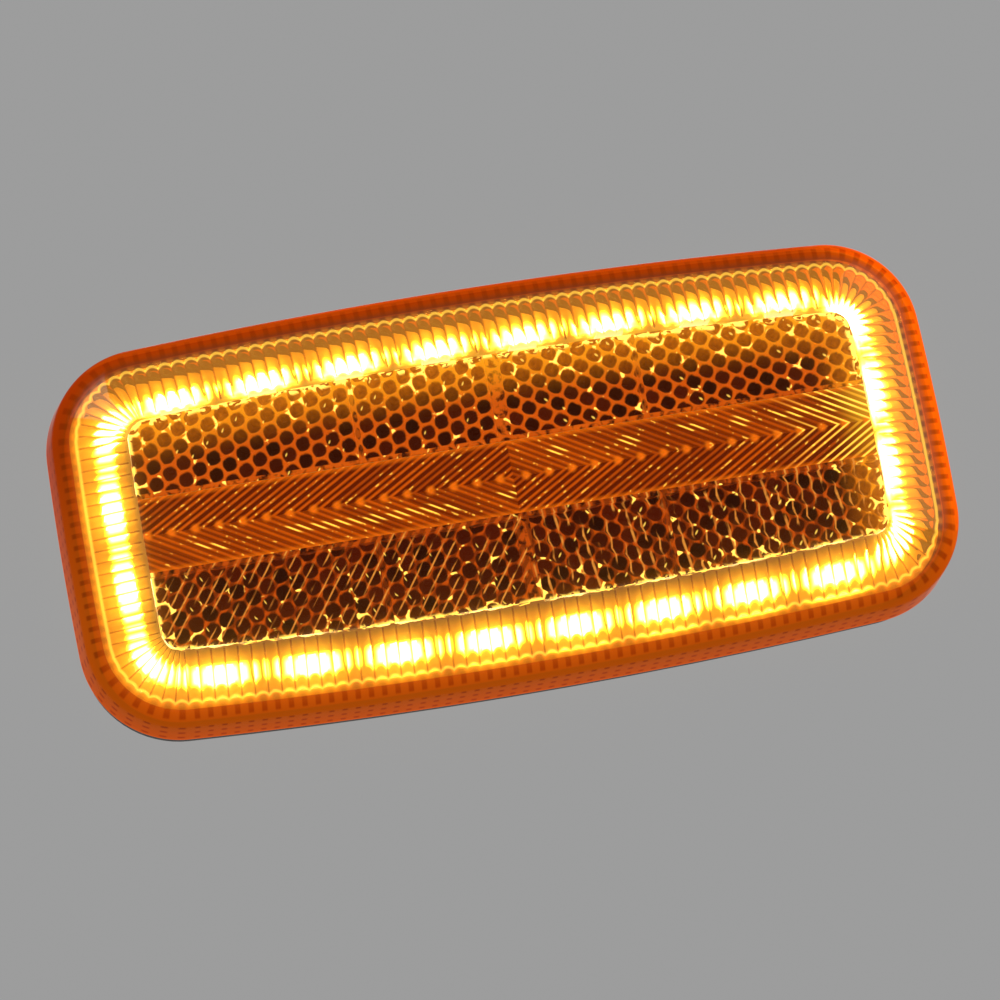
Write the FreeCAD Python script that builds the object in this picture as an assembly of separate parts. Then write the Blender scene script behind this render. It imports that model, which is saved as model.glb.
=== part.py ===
"""Amber side marker lamp: lens, lit ring of light sources, board, housing, gasket and socket.

The lens faces -Y, the length runs along X and Z is up. The origin is the middle of the two rear
bosses, on their end plane, and +Y points out of the boss holes. Sizes are in millimetres.
"""
import FreeCAD, Part
import math
import os
from BOPTools import SplitAPI

V = FreeCAD.Vector
X, Y, Z = V(1, 0, 0), V(0, 1, 0), V(0, 0, 1)

# Outline of the lamp: a rounded rectangle whose four sides bow outwards
half_length = 55.0
half_height = 25.3
long_side_bow = 2.2
short_side_bow = 0.85
corner_radius = 12.2

# Depths of the layers, from the boss ends forward to the lens
boss_height = 4.0
tub_depth = 9.0
tub_wall = 2.0
tray_floor = 2.0
board_thickness = 1.6
board_recess = 0.3
seat_y = -(boss_height + tub_depth)
ledge_y = seat_y - tray_floor
board_y = ledge_y - board_thickness
rim_y = board_y - board_recess
tub_back_y = -boss_height
tub_floor_y = tub_back_y - tub_wall

# Lens shell, as insets from the outline and heights in front of the lens rim
lens_height = 9.4
lens_draft = math.radians(7.0)
crown_slope = math.radians(14.0)
crown_inset = 10.0
shoulder_radius = 2.4
lens_wall = 2.6
flute_outer_inset = 4.2
flute_outer_height = 5.1
flute_inner_inset = 9.6
field_height = 7.6

# Flutes that spread the light, counted along each side and round each corner
flutes_per_long_side = 54
flutes_per_short_side = 17
flutes_per_corner = 8
flute_steepness = 0.5
flute_valley = 0.05
flute_overhang = 0.3
flute_root = 0.4
sunk = 0.12

# Reflex fields: cube corners in hexagonal cells above and below the middle band
cell_pitch = 2.9
cell_margin = 0.2
field_gap = 0.35
middle_web = 0.9
field_seam = 17.7
seam_web = 0.3
band_half_height = 4.5
band_web = 0.6

# Chevron band: nested diamonds of fine grooves, with the first groove of each chevron deeper
chevron_pitch = 2.87
chevron_angle = math.radians(30.0)
grooves_per_chevron = 2
groove_depth = 0.26
main_groove_depth = 0.5

# Housing tray and tub, with the lens rim welded to the front of the tray wall
housing_inset = 0.3
tray_wall_inset = 2.8
tub_inset = 9.0
boss_spacing = 60.0
boss_r = 5.0
boss_hole_r = 1.65
boss_hole_depth = 10.0
boss_end_wall = 2.0
rib_thickness = 1.6
rib_height = 2.4
post_end_gap = 15.0
post_r = 2.6
pilot_r = 0.8
pilot_depth = 6.0
post_x = half_length - post_end_gap

# Connector socket on the back of the tub
socket_length = 14.0
socket_height = 8.0
socket_wall = 1.5
socket_depth = 12.0
socket_corner = 1.6
latch_length = 5.0
latch_depth = 3.5
latch_rise = 1.2
latch_back = 3.0

# Square breather patch in its recess on the back of the tub
vent_x = 17.0
vent_z = 9.0
vent_size = 7.0
vent_thickness = 0.3
vent_recess = 0.5
vent_clearance = 0.1
vent_hole_r = 1.5

# Gasket between the tray and the panel
gasket_outer_inset = 1.2
gasket_tub_gap = 0.2
gasket_thickness = 2.0

# Board and its light sources
board_clearance = 0.3
board_hole_r = 1.1
led_inset = 6.75
leds_per_row = 8
led_row_end_gap = 16.5
led_pitch = 2 * (half_length - led_row_end_gap) / (leds_per_row - 1)
led_end_z = 4.9
led_corner_angle = math.radians(30.0)
led_length = 3.5
led_width = 2.8
led_thickness = 0.8

# Parts on the back of the board
resistors = 8
resistor_pitch = 8.0
resistor_length = 3.2
resistor_width = 1.6
resistor_thickness = 0.6
resistor_wall_gap = 1.6
resistor_z = half_height - long_side_bow - tub_inset - tub_wall - resistor_wall_gap - resistor_width / 2
diode_z = -9.0
diode_length = 4.3
diode_width = 2.6
diode_thickness = 2.1
diode_top_inset = 0.3

# Blades of the connector
blade_spacing = 7.0
blade_width = 2.8
blade_thickness = 0.8
blade_tip_y = 5.0
blade_tip_length = 1.0
blade_tip_width = 1.6
blade_root_y = tub_floor_y - 1.0
tail_width = 1.0
tail_proud = 0.8
tail_clearance = 0.15
blade_clearance = 0.05

# Screws that hold the board
screw_r = 0.75
screw_length = 5.0
screw_head_r = 1.9
screw_head_height = 1.3


def meeting_point(c1, r1, c2, r2):
    """The upper right point where two circles of the XZ plane cross."""
    between = c2 - c1
    gap = between.Length
    along = (r1 * r1 - r2 * r2 + gap * gap) / (2 * gap)
    aside = math.sqrt(r1 * r1 - along * along)
    middle = c1 + between * (along / gap)
    side = V(between.z, 0, -between.x) * (aside / gap)
    return max((middle + side, middle - side), key=lambda p: p.x + p.z)


def angle_of(point):
    return math.atan2(point.z, point.x)


def outline_arcs():
    """The eight arcs of the outline as (centre, radius, first angle, last angle), anticlockwise."""
    long_r = (half_length ** 2 + long_side_bow ** 2) / (2 * long_side_bow)
    short_r = (half_height ** 2 + short_side_bow ** 2) / (2 * short_side_bow)
    top = V(0, 0, half_height - long_r)
    right = V(half_length - short_r, 0, 0)
    corner = meeting_point(top, long_r - corner_radius, right, short_r - corner_radius)
    steep = angle_of(corner - top)
    flat = angle_of(corner - right)
    half = [
        (right, short_r, -flat, flat),
        (corner, corner_radius, flat, steep),
        (top, long_r, steep, math.pi - steep),
        (V(-corner.x, 0, corner.z), corner_radius, math.pi - steep, math.pi - flat),
    ]
    return half + [(c * -1, r, a0 + math.pi, a1 + math.pi) for c, r, a0, a1 in half]


arcs = outline_arcs()
right_arc, corner_arc, top_arc = arcs[:3]


def on_arc(arc, angle, inset, y):
    centre, radius = arc[:2]
    reach = radius - inset
    return V(centre.x + reach * math.cos(angle), y, centre.z + reach * math.sin(angle))


def outline(inset, y):
    """The lamp's outline moved inwards by an inset, in the plane at y."""
    edges = []
    for arc in arcs:
        a0, a1 = arc[2:]
        points = [on_arc(arc, a, inset, y) for a in (a0, (a0 + a1) / 2, a1)]
        edges.append(Part.Arc(*points).toShape())
    return Part.Wire(edges)


def plate(inset, y0, y1):
    return Part.Face(outline(inset, y0)).extrude(Y * (y1 - y0))


def ring(outer_inset, inner_inset, y0, y1):
    return plate(outer_inset, y0, y1).cut(plate(inner_inset, y0, y1))


def box(x0, x1, y0, y1, z0, z1):
    return Part.makeBox(x1 - x0, y1 - y0, z1 - z0, V(x0, y0, z0))


def post(x, z, radius, y0, y1):
    return Part.makeCylinder(radius, y1 - y0, V(x, y0, z), Y)


def prism(points, way):
    return Part.Face(Part.makePolygon(points + points[:1])).extrude(way)


def mirrored(shapes):
    """The shapes of one quarter, with their copies in the other three."""
    right = shapes + [s.mirror(V(), Z) for s in shapes]
    return right + [s.mirror(V(), X) for s in right]


def along_edges(solid, wanted):
    return [e for e in solid.Edges if wanted(e)]


def runs_along(edge, way):
    return edge.Curve.TypeId == "Part::GeomLine" and abs(edge.Curve.Direction.dot(way)) > 0.999


def lens_profile():
    """Outer wall, bevelled round shoulder and sloping crown of the lens, as (inset, height) points."""
    wall = V(math.sin(lens_draft), math.cos(lens_draft), 0)
    crown = V(math.cos(crown_slope), math.sin(crown_slope), 0)
    crown_top = V(crown_inset, lens_height, 0)
    start_height = crown_top.y - crown_top.x * math.tan(crown_slope)
    corner = wall * (start_height / (wall.y - wall.x * math.tan(crown_slope)))
    turn = wall.getAngle(crown)
    reach = shoulder_radius * math.tan(turn / 2)
    wall_top = corner - wall * reach
    crown_foot = corner + crown * reach
    centre = wall_top + V(wall.y, -wall.x, 0) * shoulder_radius
    shoulder = centre + (corner - centre).normalize() * shoulder_radius
    return [V(), wall_top, shoulder, crown_foot, crown_top]


def lens_shell():
    """The shell: its section turned about the centre of each outline arc, and a flat field inside."""
    outside = lens_profile()
    inside = [
        V(crown_inset, field_height, 0),
        V(flute_inner_inset, field_height, 0),
        V(flute_outer_inset, flute_outer_height, 0),
        V(lens_wall, flute_outer_height, 0),
        V(lens_wall, 0, 0),
    ]
    pieces = [plate(crown_inset, rim_y - lens_height, rim_y - field_height)]
    for arc in arcs:
        centre, _, first, last = arc

        section = [on_arc(arc, first, p.x, rim_y - p.y) for p in outside + inside]
        face = Part.Face(Part.makePolygon(section + section[:1]))
        pieces.append(face.revolve(centre, Y * -1, math.degrees(last - first)))
    return pieces[0].multiFuse(pieces[1:]).removeSplitter()


def flute_section(arc, angle, inset, half_angle):
    """A flute cut across: a ridge from valley to valley, on a base sunk in the slope."""
    slope = (field_height - flute_outer_height) / (flute_inner_inset - flute_outer_inset)
    height = flute_outer_height + slope * (inset - flute_outer_inset)
    half_width = (arc[1] - inset) * math.tan(half_angle)
    crest = flute_valley + half_width * flute_steepness
    middle = on_arc(arc, angle, inset, rim_y - height)
    aside = V(-math.sin(angle), 0, math.cos(angle)) * half_width
    return [
        middle - aside - Y * flute_root,
        middle - aside + Y * flute_valley,
        middle + Y * crest,
        middle + aside + Y * flute_valley,
        middle + aside - Y * flute_root,
    ]


def between_sections(first, last):
    """The solid with flat faces between two polygons of like shape."""
    rims = [first, last]
    for i in range(len(first)):
        rims.append([first[i - 1], first[i], last[i], last[i - 1]])
    faces = [Part.Face(Part.makePolygon(rim + rim[:1])) for rim in rims]
    return Part.Solid(Part.Shell(faces))


def flutes():
    """The ridges along every side and round every corner, turned about the outline's arc centres."""
    shapes = []
    counts = [flutes_per_short_side, flutes_per_corner, flutes_per_long_side, flutes_per_corner] * 2
    ends = (flute_outer_inset - flute_overhang, flute_inner_inset + flute_overhang)
    for arc, count in zip(arcs, counts):
        centre, _, first, last = arc
        step = (last - first) / count
        flute = between_sections(*[flute_section(arc, first + step / 2, inset, step / 2) for inset in ends])
        for i in range(count):
            turned = flute.copy()
            turned.rotate(centre, Y * -1, math.degrees(step * i))
            shapes.append(turned)
    return shapes


def cube_corner_sheet(columns, rows):
    """Hexagonal cells of three square faces each, apex towards the light sources."""
    column_step = cell_pitch * math.sqrt(3) / 2
    side = cell_pitch / math.sqrt(3)
    level = cell_pitch / math.sqrt(6)

    def corner(middle, k):
        turn = math.radians(60 * k)
        deep = level * (2 - k % 2)
        return middle + V(side * math.cos(turn), -deep, side * math.sin(turn))

    faces = []
    for i in range(columns):
        for j in range(rows):
            middle = V(i * column_step, 0, (j + 0.5 * (i % 2)) * cell_pitch)
            for k in (0, 2, 4):
                ring_points = [middle, corner(middle, k + 1), corner(middle, k), corner(middle, k - 1)]
                faces.append(Part.Face(Part.makePolygon(ring_points + ring_points[:1])))
    sheet = Part.Shell(faces)
    sheet.sewShape()
    return sheet


def reflex_fields():
    """The quarter's two reflex blocks, cut by the cube corners, and their mirror images."""
    deep = cell_pitch * math.sqrt(2.0 / 3.0)
    back = rim_y - field_height
    tip = back + cell_margin + deep
    column_step = cell_pitch * math.sqrt(3) / 2
    rows = int((half_height - crown_inset - band_half_height) / cell_pitch) + 2
    spans = [(middle_web, field_seam - seam_web), (field_seam + seam_web, half_length - crown_inset)]
    whole = plate(crown_inset + field_gap, back - sunk, tip + 1)
    quarter = []
    for x0, x1 in spans:
        block = box(x0, x1, back - sunk, tip + 1, band_half_height + band_web, half_height).common(whole)
        sheet = cube_corner_sheet(int((x1 - x0) / column_step) + 3, rows)
        sheet.translate(V(x0 - column_step / 2, tip, band_half_height - cell_pitch / 2))
        parts = SplitAPI.slice(block, [sheet], "Split").Solids
        quarter.append(min(parts, key=lambda s: s.CenterOfMass.y))
    return mirrored(quarter)


def chevron_band():
    """Ridges along one arm of the chevrons, cut to a quarter of the band, and their mirror images."""
    back = rim_y - field_height
    tips = back + main_groove_depth
    across = V(math.sin(chevron_angle), 0, math.cos(chevron_angle))
    along = V(-math.cos(chevron_angle), 0, math.sin(chevron_angle))
    reach = half_length - crown_inset - field_gap
    step = chevron_pitch * math.sin(chevron_angle) / grooves_per_chevron
    widest = reach * across.x + band_half_height * across.z
    count = int(widest / step) + 1
    points = [V(0, back - sunk, 0)]
    for i in range(count):
        depth = main_groove_depth if i % grooves_per_chevron == 0 else groove_depth
        points.append(across * (i * step) + Y * back)
        points.append(across * ((i + 0.5) * step) + Y * (back + depth))
    points.append(across * (count * step) + Y * back)
    points.append(across * (count * step) + Y * (back - sunk))
    length = 2 * half_length
    ridges = prism([p - along * length for p in points], along * 2 * length)
    quarter = ridges.common(box(0, reach, back - sunk, tips, 0, band_half_height))
    whole = plate(crown_inset + field_gap, back - sunk, tips)
    return mirrored([quarter.common(whole)])


def outer_lens():
    return lens_shell().multiFuse(flutes() + reflex_fields() + chevron_band())


def socket_outer():
    half_x = socket_length / 2 + socket_wall
    half_z = socket_height / 2 + socket_wall
    block = box(-half_x, half_x, tub_floor_y, tub_back_y + socket_depth, -half_z, half_z)
    return block.makeFillet(socket_corner, along_edges(block, lambda e: runs_along(e, Y)))


def socket_latch():
    """The wedge on the socket that the plug's clip snaps over."""
    foot = socket_height / 2 + socket_wall
    end = tub_back_y + socket_depth - latch_back
    points = [
        V(-latch_length / 2, end, foot - sunk),
        V(-latch_length / 2, end, foot),
        V(-latch_length / 2, end - latch_depth, foot + latch_rise),
        V(-latch_length / 2, end - latch_depth, foot - sunk),
    ]
    return prism(points, X * latch_length)


def vent_square(half, y0, y1):
    return box(vent_x - half, vent_x + half, y0, y1, vent_z - half, vent_z + half)


def housing():
    tray = plate(housing_inset, rim_y, seat_y)
    tub = plate(tub_inset, ledge_y, tub_back_y)
    bosses = []
    holes = []
    for x in (-boss_spacing / 2, boss_spacing / 2):
        bosses.append(post(x, 0, boss_r, -(boss_hole_depth + boss_end_wall), 0))
        holes.append(post(x, 0, boss_hole_r, -boss_hole_depth, 0))
    rib = box(-boss_spacing / 2, boss_spacing / 2, tub_floor_y, tub_back_y + rib_height,
              -rib_thickness / 2, rib_thickness / 2)
    posts = []
    for x in (-post_x, post_x):
        posts.append(post(x, 0, post_r, ledge_y, tub_floor_y))
        holes.append(post(x, 0, pilot_r, ledge_y, ledge_y + pilot_depth))
    pocket = plate(tray_wall_inset, rim_y, ledge_y)
    cavity = plate(tub_inset + tub_wall, ledge_y, tub_floor_y)
    half_x, half_z = socket_length / 2, socket_height / 2
    hollow = box(-half_x, half_x, tub_back_y, tub_back_y + socket_depth, -half_z, half_z)
    hollow = hollow.makeFillet(socket_corner / 2, along_edges(hollow, lambda e: runs_along(e, Y)))
    slots = []
    for x in (-blade_spacing / 2, blade_spacing / 2):
        half_t = blade_thickness / 2 + blade_clearance
        half_w = blade_width / 2 + blade_clearance
        slots.append(box(x - half_t, x + half_t, tub_floor_y, tub_back_y, -half_w, half_w))
    vent = [
        vent_square(vent_size / 2 + vent_clearance, tub_back_y - vent_recess, tub_back_y),
        post(vent_x, vent_z, vent_hole_r, tub_floor_y, tub_back_y),
    ]
    shell = tray.fuse(tub).cut(pocket).cut(cavity)
    solid = shell.multiFuse(bosses + posts + [rib, socket_outer(), socket_latch()])
    return solid.cut([hollow] + holes + slots + vent).removeSplitter()


def mounting_gasket():
    return ring(gasket_outer_inset, tub_inset - gasket_tub_gap, seat_y, seat_y + gasket_thickness)


def led_board():
    board = plate(tray_wall_inset + board_clearance, board_y, ledge_y)
    holes = [post(x, 0, board_hole_r, board_y, ledge_y) for x in (-post_x, post_x)]
    for x in (-blade_spacing / 2, blade_spacing / 2):
        half_t = blade_thickness / 2 + tail_clearance
        half_w = tail_width / 2 + tail_clearance
        holes.append(box(x - half_t, x + half_t, board_y, ledge_y, -half_w, half_w))
    return board.cut(holes)


def led_places():
    """(arc, angle) of each light source, clockwise from the upper left end of the top row."""
    quarter = []
    for i in range(leds_per_row // 2):
        reach = top_arc[1] - led_inset
        quarter.append((top_arc, math.acos((i + 0.5) * led_pitch / reach)))
    quarter.append((corner_arc, led_corner_angle))
    quarter.append((right_arc, math.asin(led_end_z / (right_arc[1] - led_inset))))
    points = [(on_arc(arc, angle, led_inset, board_y), math.degrees(angle)) for arc, angle in quarter]
    upper = [(V(-p.x, p.y, p.z), 180 - a) for p, a in reversed(points)] + points
    return upper + [(V(-p.x, p.y, -p.z), a + 180) for p, a in upper]


def led():
    """One light source at the origin: its long side runs along Z and its lit face looks along -Y."""
    return box(-led_width / 2, led_width / 2, -led_thickness, 0, -led_length / 2, led_length / 2)


def resistor(x):
    """One chip resistor on the back of the board, in the row along the tub's upper wall."""
    half_l, half_w = resistor_length / 2, resistor_width / 2
    return box(x - half_l, x + half_l, ledge_y, ledge_y + resistor_thickness,
               resistor_z - half_w, resistor_z + half_w)


def polarity_diode():
    half_l, half_w = diode_length / 2, diode_width / 2

    def rim(inset, y):
        return [V(x * (half_l - inset), y, diode_z + z * (half_w - inset))
                for x, z in ((-1, -1), (1, -1), (1, 1), (-1, 1))]

    return between_sections(rim(0, ledge_y), rim(diode_top_inset, ledge_y + diode_thickness))


def terminal(x):
    """One stamped blade: a pointed contact in the socket and a narrow tail through the board."""
    half_w, half_tip, half_tail = blade_width / 2, blade_tip_width / 2, tail_width / 2
    right = [
        (blade_tip_y, half_tip),
        (blade_tip_y - blade_tip_length, half_w),
        (blade_root_y, half_w),
        (blade_root_y, half_tail),
        (board_y - tail_proud, half_tail),
    ]
    points = right + [(y, -z) for y, z in reversed(right)]
    return prism([V(x - blade_thickness / 2, y, z) for y, z in points], X * blade_thickness)


def board_screws():
    screws = []
    for x in (-post_x, post_x):
        head = post(x, 0, screw_head_r, board_y - screw_head_height, board_y)
        screws.append(head.fuse(post(x, 0, screw_r, board_y, board_y + screw_length)))
    return Part.makeCompound(screws)


def vent_patch():
    seat = tub_back_y - vent_recess
    return vent_square(vent_size / 2, seat, seat + vent_thickness)


nodes = {
    "outer_lens": outer_lens(),
    "housing": housing(),
    "mounting_gasket": mounting_gasket(),
    "led_board": led_board(),
    "polarity_diode": polarity_diode(),
    "terminal_positive": terminal(blade_spacing / 2),
    "terminal_negative": terminal(-blade_spacing / 2),
    "board_screws": board_screws(),
    "vent_patch": vent_patch(),
}
for number, (place, turn) in enumerate(led_places(), 1):
    source = led()
    source.rotate(V(), Y * -1, turn)
    source.translate(place)
    nodes["led_%02d" % number] = source
for number in range(1, resistors + 1):
    nodes["resistor_%d" % number] = resistor((number - (resistors + 1) / 2) * resistor_pitch)

os.makedirs("parts", exist_ok=True)
for name, shape in nodes.items():
    shape.exportStep("parts/%s.step" % name)
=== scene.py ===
"""A lit amber side marker lamp: clear fluted lens, reflex fields, chevron band and glowing ring."""
import math

import bmesh
import bpy
from mathutils import Matrix, Vector


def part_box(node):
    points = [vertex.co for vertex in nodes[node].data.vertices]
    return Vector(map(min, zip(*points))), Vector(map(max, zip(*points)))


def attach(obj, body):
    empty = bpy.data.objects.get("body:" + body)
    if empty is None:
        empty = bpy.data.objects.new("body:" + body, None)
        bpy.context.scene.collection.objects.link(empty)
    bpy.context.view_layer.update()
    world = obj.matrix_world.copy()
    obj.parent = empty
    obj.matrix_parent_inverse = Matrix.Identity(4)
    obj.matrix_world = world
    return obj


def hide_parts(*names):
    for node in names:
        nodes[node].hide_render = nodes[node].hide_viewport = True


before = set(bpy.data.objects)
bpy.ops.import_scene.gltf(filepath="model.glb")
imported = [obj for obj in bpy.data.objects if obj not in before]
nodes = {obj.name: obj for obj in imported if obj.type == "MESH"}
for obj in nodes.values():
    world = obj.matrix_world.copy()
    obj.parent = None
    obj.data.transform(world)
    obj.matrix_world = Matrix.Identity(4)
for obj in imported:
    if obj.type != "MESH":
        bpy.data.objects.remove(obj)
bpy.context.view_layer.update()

MM = 0.001

# Outline of the lens, from the frame, with its bowed sides and round corners
lens_low, lens_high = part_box("outer_lens")
HALF_LENGTH = lens_high.x / MM
HALF_HEIGHT = lens_high.z / MM
RIM_Y = lens_high.y / MM
LENS_HEIGHT = (lens_high.y - lens_low.y) / MM
LONG_BOW = 2.2
SHORT_BOW = 0.85
CORNER_RADIUS = 12.2

# Section of the lens, as insets from the outline and heights in front of the rim, in mm
DRAFT = math.radians(7.0)
CROWN_SLOPE = math.radians(14.0)
CROWN_INSET = 10.0
SHOULDER_RADIUS = 2.4
WALL_INSET = 2.3
WALL_TOP_INSET = 2.9
FLUTE_OUTER = (3.9, 5.5)
FLUTE_INNER = (9.6, 7.6)
FLUTE_END = 0.2
SCALLOP = 0.5
CROWN_BLEND = 1.5

# Steps of the section's curves, wall and flute slope, and those over which hollow and scallop change
CURVE_STEPS = 8
WALL_STEPS = 4
SLOPE_STEPS = 12
HOLLOW_GROWS = 4
HOLLOW_FADES = 3
SCALLOP_FADES = 3
SHARP_ANGLE = math.radians(32.0)

# Flutes along the short sides, corners and long sides
FLUTES = {"short": 17, "corner": 8, "long": 54}
FLUTE_STEPS = 8
FLUTE_HOLLOW = 0.34

# The flat middles: width of a step inwards, and the number of points that are joined to the centre
FILL_STEP = 0.1
FILL_LAST = 100

# Planes that cut the fields to each arc of the outline, and the tools' tolerances in metres
CUT_PLANES = {"short": 3, "corner": 6, "long": 10}
CUT_TOLERANCE = 1e-9
WELD = 1e-6

# Reflex fields and chevron band behind the clear face
FIELD_INSET = 9.9
FIELD_TOP = 7.5
CELL_PITCH = 2.1
CELL_MARGIN = 0.1
MIDDLE_WEB = 0.9
SEAM_X = 17.7
SEAM_WEB = 0.3
BAND_HALF = 4.5
BAND_WEB = 0.6
CHEVRON_PITCH = 2.87
CHEVRON_ANGLE = math.radians(30.0)
GROOVES = 2
GROOVE_DEPTH = 0.26
MAIN_GROOVE_DEPTH = 0.4
CHEVRON_STEP = CHEVRON_PITCH * math.sin(CHEVRON_ANGLE)

# Camera: angles, distance and aim in mm, from the photo's perspective
VIEW_AZIMUTH = math.radians(-8.8)
VIEW_ELEVATION = math.radians(-10.0)
VIEW_ROLL = math.radians(-10.8)
VIEW_DISTANCE = 430.8
VIEW_AIM = (-0.95, -1.18)
FOCAL_LENGTH = 126.0
SENSOR = 36.0
CLIP_START = 0.01

# Floor, surround and soft lights as (name, place, aim, size, power), in metres
FLOOR_Z = -0.11
FLOOR_SIZE = 6.0
FLOOR_GREYS = ((0.72, 0.72, 0.71), (0.76, 0.76, 0.75))
SURROUND_GREY = (0.80, 0.80, 0.80)
SURROUND_STRENGTH = 0.42
LIGHTS = (
    ("key", (-0.35, -0.5, 0.5), (0, -0.02, 0), 0.4, 0.8),
    ("fill", (0.5, -0.4, 0.2), (0, -0.02, 0), 0.5, 0.35),
    ("back", (0.2, 0.6, 0.5), (0, 0, 0), 0.5, 0.8),
)
BLOOM = {"Threshold": 1.0, "Strength": 0.05, "Size": 0.2}

# Strength of the light sources and of the painted streak on the board, and the place of their ring
LED_POWER = 40.0
STREAK_POWER = 16.0
RING_SHIFT = 0.3
RING_LEAN = (0.35, 0.35)
LED_INSET = HALF_HEIGHT - (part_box("led_06")[0].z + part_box("led_06")[1].z) / (2 * MM)


def circle_meet(c1, r1, c2, r2):
    """The upper right crossing of two circles."""
    between = c2 - c1
    gap = between.length
    along = (r1 * r1 - r2 * r2 + gap * gap) / (2 * gap)
    aside = math.sqrt(r1 * r1 - along * along)
    middle = c1 + between * (along / gap)
    side = Vector((between.y, -between.x)) * (aside / gap)
    return max((middle + side, middle - side), key=lambda p: p.x + p.y)


def outline_arcs():
    """The eight arcs of the outline as (centre, radius, first angle, last angle, kind)."""
    long_r = (HALF_LENGTH ** 2 + LONG_BOW ** 2) / (2 * LONG_BOW)
    short_r = (HALF_HEIGHT ** 2 + SHORT_BOW ** 2) / (2 * SHORT_BOW)
    top = Vector((0, HALF_HEIGHT - long_r))
    right = Vector((HALF_LENGTH - short_r, 0))
    corner = circle_meet(top, long_r - CORNER_RADIUS, right, short_r - CORNER_RADIUS)
    steep = math.atan2(corner.y - top.y, corner.x - top.x)
    flat = math.atan2(corner.y - right.y, corner.x - right.x)
    left_corner = Vector((-corner.x, corner.y))
    half = [
        (right, short_r, -flat, flat, "short"),
        (corner, CORNER_RADIUS, flat, steep, "corner"),
        (top, long_r, steep, math.pi - steep, "long"),
        (left_corner, CORNER_RADIUS, math.pi - steep, math.pi - flat, "corner"),
    ]
    return half + [(-c, r, a0 + math.pi, a1 + math.pi, k) for c, r, a0, a1, k in half]


ARCS = outline_arcs()


def stations():
    """(arc, angle, place across the flute from -1 to 1, half the flute's angle) all round the lens."""
    rows = []
    for arc in ARCS:
        _, _, first, last, kind = arc
        step = (last - first) / FLUTES[kind]
        for i in range(FLUTES[kind]):
            for k in range(FLUTE_STEPS):
                across = 2.0 * k / FLUTE_STEPS - 1.0
                rows.append((arc, first + step * (i + k / FLUTE_STEPS), across, step / 2))
    return rows


def at(arc, angle, inset, height):
    """A point of the lens in metres, at an inset from the outline and a height in front of its rim."""
    centre, radius = arc[:2]
    reach = radius - inset
    x = centre.x + reach * math.cos(angle)
    z = centre.y + reach * math.sin(angle)
    return Vector((x, RIM_Y - height, z)) * MM


def arc_points(centre, start, end, count):
    """Points of the shorter arc about a centre, in the plane of the section."""
    a0 = math.atan2(start.y - centre.y, start.x - centre.x)
    a1 = math.atan2(end.y - centre.y, end.x - centre.x)
    turn = (a1 - a0 + math.pi) % (2 * math.pi) - math.pi
    radius = (start - centre).length
    angles = [a0 + turn * i / count for i in range(count + 1)]
    return [centre + Vector((math.cos(a), math.sin(a))) * radius for a in angles]


def outer_section():
    """The lens's outside from the flat face out over the crown and shoulder, down to the rim."""
    wall = Vector((math.sin(DRAFT), math.cos(DRAFT)))
    crown = Vector((math.cos(CROWN_SLOPE), math.sin(CROWN_SLOPE)))
    top = Vector((CROWN_INSET, LENS_HEIGHT))
    start = top.y - top.x * math.tan(CROWN_SLOPE)
    corner = wall * (start / (wall.y - wall.x * math.tan(CROWN_SLOPE)))
    reach = SHOULDER_RADIUS * math.tan(wall.angle(crown) / 2)
    wall_top = corner - wall * reach
    foot = corner + crown * reach
    centre = wall_top + Vector((wall.y, -wall.x)) * SHOULDER_RADIUS
    crown_end = top - crown * CROWN_BLEND
    points = [top + Vector((CROWN_BLEND, 0))]
    for i in range(1, CURVE_STEPS):
        t = i / CURVE_STEPS
        points.append(points[0] * (1 - t) ** 2 + top * 2 * t * (1 - t) + crown_end * t * t)
    points += [crown_end, (crown_end + foot) / 2]
    points += arc_points(centre, foot, wall_top, CURVE_STEPS)
    points += [wall_top * (1 - i / WALL_STEPS) for i in range(1, WALL_STEPS + 1)]
    return points


def inner_section():
    """(inset, height, flute share, scallop share) rows up the wall, over the ledge and along the flutes."""
    outer, inner = Vector(FLUTE_OUTER), Vector(FLUTE_INNER)
    rows = [(WALL_INSET, 0.0, 0.0, 0.0), (WALL_TOP_INSET, outer.y, 0.0, 0.0)]
    for back in (2 * FLUTE_END, FLUTE_END):
        rows.append((outer.x - back, outer.y, 0.0, 1.0))
    for i in range(SLOPE_STEPS + 1):
        place = outer.lerp(inner, i / SLOPE_STEPS)
        share = min(1.0, i / HOLLOW_GROWS, (SLOPE_STEPS - i) / HOLLOW_FADES)
        rows.append((place.x, place.y, share, max(0.0, 1.0 - i / SCALLOP_FADES)))
    rows.append((inner.x + FLUTE_END, inner.y, 0.0, 0.0))
    return rows


def piece(name, bm, material, slot, *replaced):
    """Turns a bmesh into a named object that rides on the lamp."""
    bmesh.ops.recalc_face_normals(bm, faces=bm.faces)
    mesh = bpy.data.meshes.new(name)
    bm.to_mesh(mesh)
    bm.free()
    obj = bpy.data.objects.new(name, mesh)
    bpy.context.scene.collection.objects.link(obj)
    mesh.materials.append(material)
    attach(obj, "root")
    if replaced:
        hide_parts(*replaced)
    return obj


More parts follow.
